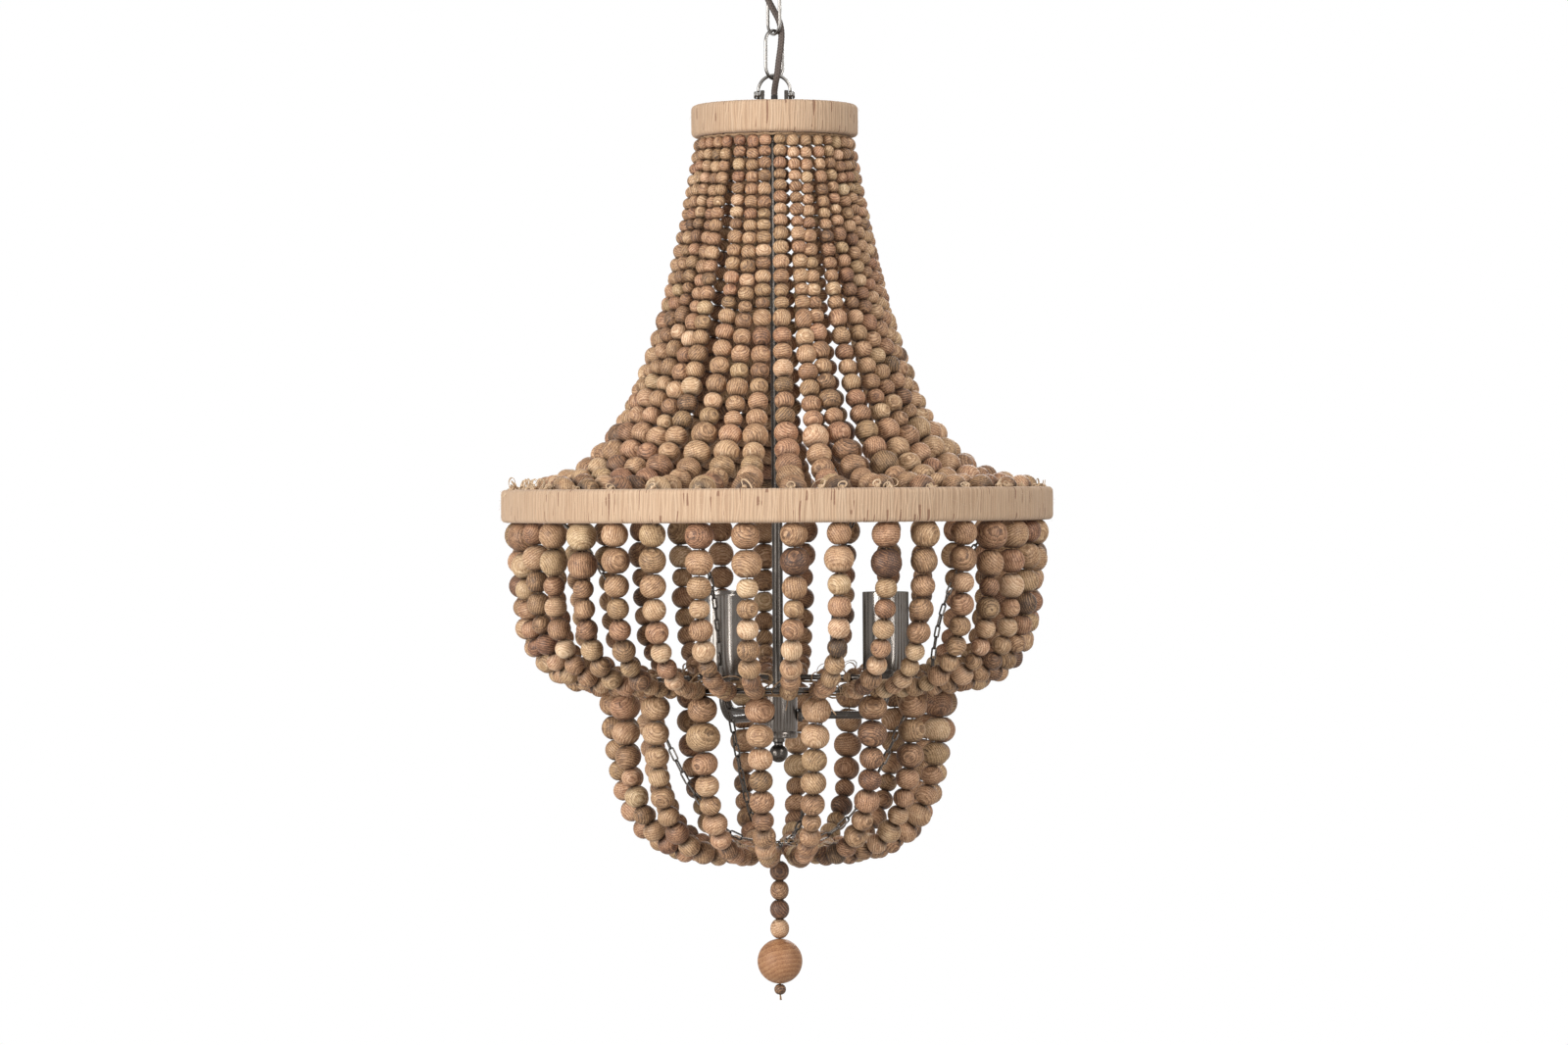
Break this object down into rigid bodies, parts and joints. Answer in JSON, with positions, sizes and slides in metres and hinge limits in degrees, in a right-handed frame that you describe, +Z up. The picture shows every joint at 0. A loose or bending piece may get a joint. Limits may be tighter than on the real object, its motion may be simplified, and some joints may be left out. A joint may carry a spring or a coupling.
{
  "type": "beaded chandelier",
  "caption": "Chandelier of wooden bead strands on jute-wrapped steel rings, with arms, lamp sleeves and a bead finial, hung from a ceiling canopy by chain links.",
  "frame": {"origin": "centre of the ceiling strap's top face, in the ceiling plane", "axes": "+Z up towards the ceiling; the pictured side faces -Y, with +X to its right"},
  "size_m": [0.49, 0.49, 0.9989],
  "materials": {
    "dark_steel": "dark brushed gunmetal",
    "jute": "close turns of natural jute cord",
    "bead_wood": "turned, unvarnished, weathered",
    "ball_wood": "turned, waxed",
    "cord_braid": "dark brown braided cover",
    "black_plastic": "matt moulded"
  },
  "bodies": {
    "canopy": {"mounting_strap": "dark_steel", "canopy_shell": "dark_steel", "canopy_loop": "dark_steel", "cord_grip": "black_plastic", "cord_top": "cord_braid"},
    "link_top": {"link_top": "dark_steel", "cord_upper": "cord_braid"},
    "link_middle": {"link_middle": "dark_steel", "cord_lower": "cord_braid"},
    "link_bottom": {"link_bottom": "dark_steel", "cord_bottom": "cord_braid"},
    "bail": {"bail": "dark_steel"},
    "fixture": {"top_hub": "dark_steel", "top_frame": "dark_steel", "top_wrap": "jute", "bail_screw_left": "dark_steel", "bail_screw_right": "dark_steel", "centre_rod": "dark_steel", "cord_in_rod": "cord_braid", "arm_hub": "dark_steel", "hub_finial": "dark_steel", "arm_1": "dark_steel", "lamp_socket_1": "black_plastic", "arm_2": "dark_steel", "lamp_socket_2": "black_plastic", "arm_3": "dark_steel", "lamp_socket_3": "black_plastic", "big_band": "dark_steel", "big_wrap": "jute", "lower_hoop": "dark_steel", "bottom_ring": "dark_steel", "upper_chain_1": "dark_steel", "upper_chain_2": "dark_steel", "upper_chain_3": "dark_steel", "upper_chain_4": "dark_steel", "middle_chain_1": "dark_steel", "middle_chain_2": "dark_steel", "middle_chain_3": "dark_steel", "middle_chain_4": "dark_steel", "lower_chain_1": "dark_steel", "lower_chain_2": "dark_steel", "lower_chain_3": "dark_steel", "lower_chain_4": "dark_steel", "upper_strands_1": "bead_wood", "upper_strands_2": "bead_wood", "upper_strands_3": "bead_wood", "upper_strands_4": "bead_wood", "middle_strands_1": "bead_wood", "middle_strands_2": "bead_wood", "middle_strands_3": "bead_wood", "middle_strands_4": "bead_wood", "lower_strands_1": "bead_wood", "lower_strands_2": "bead_wood", "lower_strands_3": "bead_wood"},
    "sleeve_1": {"lamp_sleeve_1": "dark_steel"},
    "sleeve_2": {"lamp_sleeve_2": "dark_steel"},
    "sleeve_3": {"lamp_sleeve_3": "dark_steel"},
    "finial_loop": {"finial_loop": "dark_steel"},
    "finial": {"finial_string": "bead_wood", "finial_ball": "ball_wood"}
  },
  "joints": [
    {"name": "link_top_swing", "type": "hinge", "parent": "canopy", "child": "link_top", "pos_m": [0, 0, -0.0607], "axis": [0.5, -0.866, 0], "range_deg": [-25, 25], "deforming": ["cord_top"]},
    {"name": "link_middle_swing", "type": "hinge", "parent": "link_top", "child": "link_middle", "pos_m": [0, 0, -0.0999], "axis": [0.866, 0.5, 0], "range_deg": [-25, 25], "deforming": ["cord_upper"]},
    {"name": "link_bottom_swing", "type": "hinge", "parent": "link_middle", "child": "link_bottom", "pos_m": [0, 0, -0.1396], "axis": [0.5, -0.866, 0], "range_deg": [-25, 25], "deforming": ["cord_lower"]},
    {"name": "bail_swing", "type": "hinge", "parent": "link_bottom", "child": "bail", "pos_m": [0, 0, -0.1793], "axis": [0.7071, 0.7071, 0], "range_deg": [-20, 20], "deforming": ["cord_bottom"]},
    {"name": "fixture_swing", "type": "hinge", "parent": "bail", "child": "fixture", "pos_m": [0, 0, -0.1936], "axis": [1, 0, 0], "range_deg": [-20, 20]},
    {"name": "sleeve_1_lift", "type": "slide", "parent": "fixture", "child": "sleeve_1", "axis": [0, 0, 1], "range_m": [0, 0.07]},
    {"name": "sleeve_2_lift", "type": "slide", "parent": "fixture", "child": "sleeve_2", "axis": [0, 0, 1], "range_m": [0, 0.07]},
    {"name": "sleeve_3_lift", "type": "slide", "parent": "fixture", "child": "sleeve_3", "axis": [0, 0, 1], "range_m": [0, 0.07]},
    {"name": "finial_loop_swing", "type": "hinge", "parent": "fixture", "child": "finial_loop", "pos_m": [0, 0, -0.8601], "axis": [1, 0, 0], "range_deg": [-35, 35]},
    {"name": "finial_swing", "type": "hinge", "parent": "finial_loop", "child": "finial", "pos_m": [0, 0, -0.8653], "axis": [0, 1, 0], "range_deg": [-35, 35]}
  ]
}
